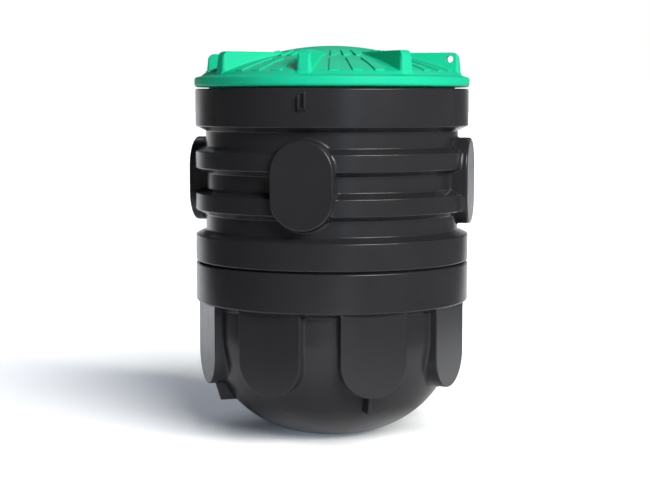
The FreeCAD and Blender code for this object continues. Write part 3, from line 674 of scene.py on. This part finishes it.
# Clip on the upper collar: a small fork of two round arms on a bar, open at its top.
clip_top = clip_low + CLIP_H
clip_arm_half = (CLIP_W - CLIP_SLOT) / 4
clip_arm_x = (CLIP_W + CLIP_SLOT) / 4


def clip_depth(a, b):
    """How far the clip stands from the axis, less at its tapered foot."""
    return clip_face - max(clip_low + CLIP_TAPER - b, 0.0)


def clip_bar(middle, half_w, high):
    """One rounded bar of the clip, from its foot up to a height."""
    half = rounded([
        (0, clip_low, 0), (half_w, clip_low, CLIP_CORNER), (half_w, high, CLIP_CORNER), (0, high, 0)])
    half = with_stations(half, [clip_low + CLIP_TAPER])
    return boss(
        half, round_wall(constant(band_r), middle), clip_depth, constant(CLIP_EDGE), CLIP_COVE,
        upright(0.0, middle))


clip_parts = [
    clip_bar(0.0, CLIP_W / 2, clip_low + CLIP_W / 2),
    clip_bar(-clip_arm_x, clip_arm_half, clip_top - CLIP_STEP),
    clip_bar(clip_arm_x, clip_arm_half, clip_top),
]
piece("collar_clip", clip_parts, black, "chamber", ["collar_clip"])


# Lid: rim, dome and crown as one turned skin.
def dome_height(r, wall=0.0):
    return dome_z + math.sqrt((DOME_R - wall) ** 2 - r**2)


def crown_height(r, wall=0.0):
    return crown_z + math.sqrt((CROWN_R - wall) ** 2 - r**2)


dome_radii = steps(dome_edge_r, flank_r, DOME_STEPS)
crown_radii = steps(CROWN_EDGE_R, 0.0, DOME_STEPS)
lid_top = [(ledge_r, ledge_z, EDGE_R), (dome_edge_r, dome_edge_z, EDGE_R)]
lid_top += [(r, dome_height(r), 0) for r in dome_radii[1:-1]]
lid_top += [(flank_r, dome_height(flank_r), CROWN_FLANK_R)]
lid_top += [(CROWN_EDGE_R, crown_height(CROWN_EDGE_R), CROWN_FLANK_R)]
lid_top += [(r, crown_height(r), 0) for r in crown_radii[1:]]
lid_under = [(r, crown_height(r, WALL), 0) for r in reversed(crown_radii)]
lid_under += [(r, dome_height(r, WALL), 0) for r in reversed(dome_radii)]
lid_path = rounded([
    (spigot_in_r, lid_spigot_low, 0), (spigot_r, lid_spigot_low, LIP_R), (spigot_r, riser_top, 0),
    (seat_r, riser_top, LIP_R), (seat_r, rim_low, 0), (rim_r, rim_low, RIM_LOW_R),
    (rim_r, rim_top, RIM_TOP_R),
] + lid_top + lid_under + [
    (ledge_r - WALL, ledge_z - WALL, 0), (rim_r - WALL, rim_top - WALL, 0),
    (rim_r - WALL, rim_low + WALL, 0), (spigot_in_r, rim_low + WALL, 0),
    (spigot_in_r, lid_spigot_low + WALL, 0),
])
lid_nodes = ["lid_crown", "lid_dome"] + numbered("lid_rim", RING_NODES) + numbered("lid_spigot", RING_NODES)
piece("lid_shell", [ring(lid_path)], green, "lid", lid_nodes)
lid_line = Line([(p.x, p.y) for p in reversed(rounded([(rim_r, rim_top, 0)] + lid_top))])


def lid_floor(a, b):
    return lid_line(math.hypot(a, b))


# Lid ribs: drafted bars from the crown to the rim, outlined at their top.
rib_draw_in = RIB_DRAFT * (rib_top - ledge_z)
rib_half_top = RIB_HALF_W - rib_draw_in
rib_start_r = CROWN_EDGE_R - RIB_LAP + rib_draw_in
rib_tip_r = rib_end_r - rib_draw_in
rib_corner_r = rib_tip_r - RIB_CORNER
nose_r = rib_tip_r - RIB_NOSE
rib_half = rounded([
    (0, rib_start_r, 0), (rib_half_top, rib_start_r, 0),
    (rib_half_top, rib_tip_r, RIB_CORNER), (0, rib_tip_r, 0),
])
rib_half = with_stations(
    rib_half, steps(rib_start_r, nose_r, RIB_STEPS) + steps(nose_r, rib_corner_r, NOSE_STEPS))


def rib_face(a, b):
    """The flat top, which ends in a round nose."""
    past = max(b - nose_r, 0.0)
    return rib_top - RIB_NOSE + math.sqrt(max(RIB_NOSE**2 - past**2, 0.0))


def rib_edge(a, b):
    """The rounding along the sides, which runs out at the nose."""
    share = min(max((b - rib_corner_r) / RIB_CORNER, 0.0), 1.0)
    return RIB_EDGE + (RIB_END_EDGE - RIB_EDGE) * share


hole_at_r = rib_end_r - HOLE_SET
hole_z = rib_top - HOLE_DROP
hole_half = RIB_HALF_W - RIB_DRAFT * (hole_z - ledge_z)


def hole_plug(place):
    """The form that the hole takes out: a pin across the rib, wider at the rib's sides."""
    lip_r = HOLE_R + HOLE_LIP
    past = 2 * hole_half
    path = [
        (0.0, -past), (lip_r, -past), (lip_r, -hole_half), (HOLE_R, HOLE_LIP - hole_half),
        (HOLE_R, hole_half - HOLE_LIP), (lip_r, hole_half), (lip_r, past), (0.0, past),
    ]
    count = len(path)
    points, faces = [], []
    for j in range(HOLE_STEPS):
        angle = 2 * math.pi * j / HOLE_STEPS
        for r, a in path:
            points.append(place(a, hole_at_r + r * math.cos(angle), hole_z + r * math.sin(angle)))
        n = (j + 1) % HOLE_STEPS
        for i in range(count - 1):
            faces.append([j * count + i, j * count + i + 1, n * count + i + 1, n * count + i])
    return points, faces


def bored(thing, degrees):
    """Cuts the round hole across a rib, with eased lips."""
    tool = put("hole_tool", closed_mesh("hole_tool", *hole_plug(radial(degrees))))
    cut = thing.modifiers.new("hole", "BOOLEAN")
    cut.operation = "DIFFERENCE"
    cut.solver = "EXACT"
    cut.object = tool
    thing.modifiers.move(len(thing.modifiers) - 1, 0)
    shading = thing.modifiers["flat_faces"]
    shading.show_viewport = False
    bpy.context.view_layer.update()
    solved = thing.evaluated_get(bpy.context.evaluated_depsgraph_get())
    thing.data = bpy.data.meshes.new_from_object(solved)
    thing.modifiers.remove(cut)
    shading.show_viewport = True
    thing.data.set_sharp_from_angle(angle=SHARP_ANGLE)
    bpy.data.objects.remove(tool)


for k, node in enumerate(numbered("lid_rib", RIB_COUNT)):
    turn = 360.0 / RIB_COUNT * k
    bar = boss(rib_half, lid_floor, rib_face, rib_edge, RIB_COVE, radial(turn), RIB_DRAFT, rib_top)
    rib = piece(node, [bar], green, "lid", [node])
    if k + 1 == HOLED_RIB:
        bored(rib, turn)


# Tread bars: three long ones between two ribs, and three short ones beside the crown.
def bar_half(start_r, end_r):
    """The right half of a bar's outline, which widens outwards."""
    spread = math.tan(math.radians(TREAD_ANGLE / 2))
    half = rounded([
        (0, start_r, 0), (spread * start_r, start_r, TREAD_CORNER),
        (spread * end_r, end_r, TREAD_CORNER), (0, end_r, 0),
    ])
    return with_stations(half, steps(start_r + TREAD_CORNER, end_r - TREAD_CORNER, BAR_STEPS))


tread_end_r = dome_edge_r - TREAD_MARGIN
tread_half = bar_half(tread_end_r - TREAD_LEN, tread_end_r)
step_start_r = CROWN_EDGE_R - STEP_LAP
step_end_r = flank_r + STEP_OVER
step_half = bar_half(step_start_r, step_end_r)
step_line = Line([
    (step_start_r, crown_height(step_start_r) + TREAD_T), (step_end_r, dome_height(step_end_r) + TREAD_T),
])


def tread_face(a, b):
    return dome_height(math.hypot(a, b)) + TREAD_T


def step_face(a, b):
    return step_line(b)


tread_parts = []
for k in range(RIB_COUNT):
    for i in (-1, 0, 1):
        place = radial(360.0 / RIB_COUNT * (k + 0.5) + TREAD_PITCH * i)
        for half, face in ((tread_half, tread_face), (step_half, step_face)):
            tread_parts.append(boss(half, lid_floor, face, constant(TREAD_EDGE), TREAD_COVE, place))
piece("lid_treads", tread_parts, green, "lid", ["lid_treads"])

# Floor, in metres. It is lifted towards white where it is seen, less in the shadow close to the foot, where
# a darker contact shadow is painted by cutting the lift on the side away from the sun.
FLOOR_SIZE = 400.0
FLOOR_ROUGHNESS = 0.8
FLOOR_BOUNCE = 0.55
FLOOR_TONE = 0.95
SIDE_TONE = 0.12
LIFT_NEAR = 0.8
LIFT_FAR = 3.5
LIFT_LOW = 0.19
LIFT_HIGH = 0.4
# The glow is bluish, which paints a blue tint into the floor's shadows.
LIFT_COLOUR = (0.76, 0.85, 1.0, 1)
PAINTED_SHADE_NEAR = 0.2
PAINTED_SHADE_FAR = 0.6
PAINTED_SHADE_LIFT = 0.05
SHADED_FULL = -0.2
SHADED_END = 0.08
SUN_TURN = 44.0
SUN_SIDE = turned(0.0, -1.0, 0.0, SUN_TURN)

# What shines on the part shows the floor white along the line of sight and under the bowl.
UNDER_WHITE = 0.8
UNDER_NEAR = 0.28
UNDER_FAR = 0.5
SHINE_NEAR = 0.2
SHINE_FAR = 0.9
SIGHT_TURN = 20.0
SIGHT = turned(0.0, 1.0, 0.0, SIGHT_TURN)
ASIDE = turned(1.0, 0.0, 0.0, SIGHT_TURN)
RUNNER_START = 4.5
RUNNER_LEAST = 0.01
RUNNER_EDGE = 0.36
SIDE_EDGE = 0.62


def sideways(tree, position):
    """How far a place on the floor is from the line of sight, against how far along it."""
    aside = maths(tree, "ABSOLUTE", dot(tree, position, ASIDE))
    along = maths(tree, "ADD", dot(tree, position, SIGHT), RUNNER_START)
    return maths(tree, "DIVIDE", aside, maths(tree, "MAXIMUM", along, RUNNER_LEAST))


def white_floor():
    """Pale and dull, white where it is seen, and dimmer where it only shines on the part's sides."""
    material = bpy.data.materials.new("floor_white")
    material.use_nodes = True
    tree = material.node_tree
    shader = tree.nodes["Principled BSDF"]
    shader.inputs["Roughness"].default_value = FLOOR_ROUGHNESS
    shader.inputs["Specular IOR Level"].default_value = 0.0
    shader.inputs["Emission Color"].default_value = LIFT_COLOUR
    paths = tree.nodes.new("ShaderNodeLightPath").outputs
    seen = paths["Is Camera Ray"]
    shine = maths(tree, "MAXIMUM", paths["Is Glossy Ray"], paths["Is Transmission Ray"])
    position = tree.nodes.new("ShaderNodeTexCoord").outputs["Object"]
    length = tree.nodes.new("ShaderNodeVectorMath")
    length.operation = "LENGTH"
    feed(tree, position, length.inputs[0])
    away = length.outputs["Value"]

    runner = map_range(tree, sideways(tree, position), (RUNNER_EDGE, SIDE_EDGE), (1.0, 0.0))
    far = map_range(tree, away, (SHINE_NEAR, SHINE_FAR), (0.0, 1.0))
    under = map_range(tree, away, (UNDER_NEAR, UNDER_FAR), (UNDER_WHITE, 0.0))
    white = maths(tree, "MAXIMUM", maths(tree, "MULTIPLY", runner, far), under)
    shine_tone = between(tree, white, SIDE_TONE, FLOOR_TONE)
    unseen_tone = between(tree, shine, FLOOR_BOUNCE, shine_tone)
    feed(tree, between(tree, seen, unseen_tone, FLOOR_TONE), shader.inputs["Base Color"])

    # Painted shade: close to the foot, on the side away from the sun, the glow is cut, which paints a
    # darker contact shadow.
    close = map_range(tree, away, (PAINTED_SHADE_NEAR, PAINTED_SHADE_FAR), (1.0, 0.0))
    shaded = map_range(tree, dot(tree, position, SUN_SIDE), (SHADED_FULL, SHADED_END), (1.0, 0.0))
    painted_contact_shade = between(tree, maths(tree, "MULTIPLY", close, shaded), 1.0, PAINTED_SHADE_LIFT)
    lift = map_range(tree, away, (LIFT_NEAR, LIFT_FAR), (LIFT_LOW, LIFT_HIGH))
    shown = maths(tree, "MAXIMUM", seen, maths(tree, "MULTIPLY", shine, white))
    glow = maths(tree, "MULTIPLY", shown, maths(tree, "MULTIPLY", lift, painted_contact_shade))
    feed(tree, glow, shader.inputs["Emission Strength"])
    return material


reach = FLOOR_SIZE / 2
floor_corners = [(-reach, -reach, 0), (reach, -reach, 0), (reach, reach, 0), (-reach, reach, 0)]
floor_mesh = bpy.data.meshes.new("floor")
floor_mesh.from_pydata(floor_corners, [], [(0, 1, 2, 3)])
floor_mesh.materials.append(white_floor())
floor = put("floor", floor_mesh)

# Room: a white wall behind the part, dimmer ones beside it, and a dim ceiling.
WHITE = (1.0, 1.0, 1.0)
WALL_RISE = 0.1
CEILING_RISE = 0.24
CEILING_LIGHT = (0.09, 0.11, 0.15)
SIDE_REACH = 0.75
BACK_REACH = 0.93
SIDE_LIGHT = 0.14


def studio_world():
    world = bpy.data.worlds.new("studio")
    world.use_nodes = True
    bpy.context.scene.world = world
    tree = world.node_tree
    room = tree.nodes["Background"]
    direction = tree.nodes.new("ShaderNodeTexCoord").outputs["Generated"]
    parts = tree.nodes.new("ShaderNodeSeparateXYZ")
    feed(tree, direction, parts.inputs["Vector"])
    colour = colour_ramp(tree, parts.outputs["Z"], (WALL_RISE, WHITE), (CEILING_RISE, CEILING_LIGHT))
    feed(tree, colour, room.inputs["Color"])
    wall = map_range(tree, dot(tree, direction, SIGHT), (SIDE_REACH, BACK_REACH), (SIDE_LIGHT, 1.0))
    seen = tree.nodes.new("ShaderNodeLightPath").outputs["Is Camera Ray"]
    feed(tree, maths(tree, "MAXIMUM", wall, seen), room.inputs["Strength"])


# Lamps, which face the middle of the part.
MIDDLE = Vector((0.0, 0.0, 0.8))
COOL = (0.6, 0.75, 1.0)
WARM = (1.0, 0.93, 0.65)


def softbox(name, turn, height, distance, size, power, colour=WHITE):
    """An area light at an angle round the part, a height and a distance."""
    light = bpy.data.lights.new(name, "AREA")
    light.shape = "RECTANGLE"
    light.size, light.size_y = size
    light.energy = power
    light.color = colour
    thing = put(name, light)
    thing.location = turned(0, -distance, height, turn)
    thing.rotation_euler = (MIDDLE - thing.location).to_track_quat("-Z", "Y").to_euler()
    thing.visible_camera = False


def soft_sun(name, turn, height, spread, power, colour=WHITE, on_floor=None):
    """A distant light from an angle round the part and an angle above the floor, all in degrees.

    It lights all, or the floor alone (INCLUDE), or all but the floor (EXCLUDE).
    """
    light = bpy.data.lights.new(name, "SUN")
    light.energy = power
    light.angle = math.radians(spread)
    light.color = colour
    thing = put(name, light)
    rise = math.radians(height)
    source = turned(0, -math.cos(rise), math.sin(rise), turn)
    thing.rotation_euler = source.to_track_quat("Z", "Y").to_euler()
    if on_floor:
        lit = bpy.data.collections.new(name)
        lit.objects.link(floor)
        lit.collection_objects[0].light_linking.link_state = on_floor
        thing.light_linking.receiver_collection = lit


studio_world()
soft_sun("key", turn=SUN_TURN, height=27.0, spread=28.0, power=3.3, on_floor="EXCLUDE")
soft_sun("floor_sun", turn=SUN_TURN, height=35.0, spread=42.0, power=4.8, on_floor="INCLUDE")
soft_sun("accent", turn=66.0, height=24.0, spread=9.0, power=0.9, colour=WARM)
softbox("front", turn=26.0, height=2.0, distance=6.5, size=(1.6, 3.4), power=18.0, colour=COOL)
softbox("right", turn=104.0, height=1.6, distance=6.0, size=(5.0, 3.0), power=5.0)
softbox("back_top", turn=190.0, height=5.0, distance=3.5, size=(5.0, 1.6), power=32.0)

# Camera, fitted to the ellipses of the collars.
CAMERA_AT = Vector((1.270, -6.109, 1.336))
CAMERA_TURN = math.radians(12.0)
CAMERA_PITCH = math.radians(5.275)
IMAGE_WIDTH = 650
FOCAL_PIXELS = 1537.8
SENSOR = 36.0
camera_data = bpy.data.cameras.new("camera")
camera_data.sensor_fit = "HORIZONTAL"
camera_data.sensor_width = SENSOR
camera_data.lens = SENSOR * FOCAL_PIXELS / IMAGE_WIDTH
camera = put("camera", camera_data)
camera.location = CAMERA_AT
look = Vector((
    -math.sin(CAMERA_TURN) * math.cos(CAMERA_PITCH),
    math.cos(CAMERA_TURN) * math.cos(CAMERA_PITCH),
    -math.sin(CAMERA_PITCH),
))
camera.rotation_euler = look.to_track_quat("-Z", "Y").to_euler()
bpy.context.scene.camera = camera
bpy.context.scene.view_settings.view_transform = "Standard"
